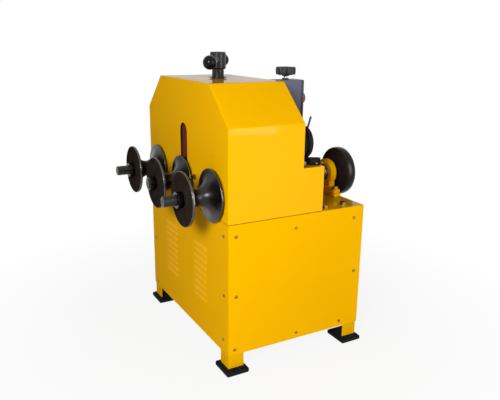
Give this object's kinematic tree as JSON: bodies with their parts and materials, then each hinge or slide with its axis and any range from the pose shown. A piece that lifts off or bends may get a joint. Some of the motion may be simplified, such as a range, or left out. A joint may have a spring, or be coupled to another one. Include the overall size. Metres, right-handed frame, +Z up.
{
  "type": "electric pipe bender",
  "caption": "Floor-standing electric tube bender: grooved rollers on a geared head above a sheet metal cabinet, a screw-fed middle roller and a rear wheel.",
  "frame": {"origin": "centre of the footprint on the floor", "axes": "+Z up, +Y from the roller side to the back, +X to the right as seen from the roller side"},
  "size_m": [0.6294, 0.6974, 0.8993],
  "materials": {
    "yellow_paint": "glossy enamel",
    "dark_red_steel": "matt primer",
    "bright_steel": "ground",
    "black_steel": "blackened and oiled",
    "black_plastic": "glossy",
    "rubber": "matt",
    "grey_paint": "satin enamel",
    "cast_grey": "machined and bare",
    "motor_blue": "satin enamel",
    "bronze": "turned",
    "red_plastic": "glossy"
  },
  "bodies": {
    "frame": {"base_frame": "yellow_paint", "front_panel": "yellow_paint", "left_panel": "yellow_paint", "right_panel": "yellow_paint", "rear_panel": "yellow_paint", "bed_plate": "yellow_paint", "hood": "yellow_paint", "spacer_bar": "yellow_paint", "pillow_block": "yellow_paint", "head_front_plate": "dark_red_steel", "head_rear_plate": "dark_red_steel", "top_bridge": "dark_red_steel", "motor_shelf": "dark_red_steel", "guide_left": "bright_steel", "guide_right": "bright_steel", "drive_chain": "black_steel", "cable_hook": "black_steel", "cable_gland": "black_plastic", "foot_front_left": "rubber", "foot_front_right": "rubber", "foot_rear_left": "rubber", "foot_rear_right": "rubber", "power_cable_coil": "rubber", "power_cable": "rubber", "mains_plug": "rubber", "control_box": "grey_paint", "control_box_cover": "grey_paint", "bearing_cartridge_left": "cast_grey", "bearing_cartridge_right": "cast_grey", "worm_gearbox": "cast_grey", "motor": "motor_blue", "screw_nut": "bronze"},
    "drive": {"drive_shaft": "bright_steel", "drive_gear": "cast_grey", "drive_sprocket": "black_steel", "rear_wheel": "black_steel", "rear_nut": "black_steel"},
    "left_spindle": {"left_shaft": "bright_steel", "left_roller": "black_steel", "left_roller_nut": "black_steel", "left_gear": "cast_grey"},
    "right_spindle": {"right_shaft": "bright_steel", "right_roller": "black_steel", "right_roller_nut": "black_steel", "right_gear": "cast_grey"},
    "centre_idler": {"idler_gear_centre": "cast_grey"},
    "left_idler": {"idler_gear_left": "cast_grey"},
    "output": {"output_sprocket": "black_steel"},
    "carriage": {"press_carriage": "dark_red_steel"},
    "middle_spindle": {"middle_shaft": "bright_steel", "middle_roller": "black_steel", "middle_roller_nut": "black_steel"},
    "screw": {"press_screw": "bright_steel", "screw_head": "black_steel"},
    "tommy": {"tommy_bar": "bright_steel", "ball_knob_near": "black_plastic", "ball_knob_far": "black_plastic"},
    "selector": {"selector_stem": "bright_steel", "selector_knob": "black_plastic"},
    "stop_button": {"emergency_stop": "red_plastic"}
  },
  "joints": [
    {"name": "drive_spin", "type": "hinge", "parent": "frame", "child": "drive", "pos_m": [0.104, 0.10135, 0.5163], "axis": [0, 1, 0], "continuous": true},
    {"name": "right_spin", "type": "hinge", "parent": "frame", "child": "right_spindle", "pos_m": [0.208, -0.17665, 0.5163], "axis": [0, 1, 0], "continuous": true},
    {"name": "left_spin", "type": "hinge", "parent": "frame", "child": "left_spindle", "pos_m": [-0.208, -0.17665, 0.5163], "axis": [0, 1, 0], "continuous": true},
    {"name": "centre_idler_spin", "type": "hinge", "parent": "frame", "child": "centre_idler", "pos_m": [0, -0.03865, 0.5163], "axis": [0, 1, 0], "continuous": true},
    {"name": "left_idler_spin", "type": "hinge", "parent": "frame", "child": "left_idler", "pos_m": [-0.104, -0.03865, 0.5163], "axis": [0, 1, 0], "continuous": true},
    {"name": "output_spin", "type": "hinge", "parent": "frame", "child": "output", "pos_m": [0.104, 0.05135, 0.2659], "axis": [0, 1, 0], "continuous": true},
    {"name": "press_slide", "type": "slide", "parent": "frame", "child": "carriage", "axis": [0, 0, 1], "range_m": [0, 0.15]},
    {"name": "middle_spin", "type": "hinge", "parent": "carriage", "child": "middle_spindle", "pos_m": [0, -0.17665, 0.5163], "axis": [0, 1, 0], "continuous": true},
    {"name": "screw_turn", "type": "hinge", "parent": "carriage", "child": "screw", "pos_m": [0, -0.08165, 0.7523], "axis": [0, 0, 1], "range_deg": [0, 8990]},
    {"name": "tommy_slide", "type": "slide", "parent": "screw", "child": "tommy", "axis": [0.8131, -0.5821, 0], "range_m": [-0.089, 0.041]},
    {"name": "selector_turn", "type": "hinge", "parent": "frame", "child": "selector", "pos_m": [0.02, 0.14835, 0.8223], "axis": [0, 0, 1], "range_deg": [-60, 60]},
    {"name": "stop_press", "type": "slide", "parent": "frame", "child": "stop_button", "axis": [0, -1, 0], "range_m": [0, 0.005], "stiffness_N_per_m": 400}
  ],
  "couplings": [
    {"joint": "right_spin", "follows": "drive_spin", "ratio": -1},
    {"joint": "left_spin", "follows": "drive_spin", "ratio": -1},
    {"joint": "centre_idler_spin", "follows": "drive_spin", "ratio": -1},
    {"joint": "left_idler_spin", "follows": "drive_spin", "ratio": 1},
    {"joint": "output_spin", "follows": "drive_spin", "ratio": 1},
    {"joint": "press_slide", "follows": "screw_turn", "m_per_rad": 0.00095493}
  ]
}
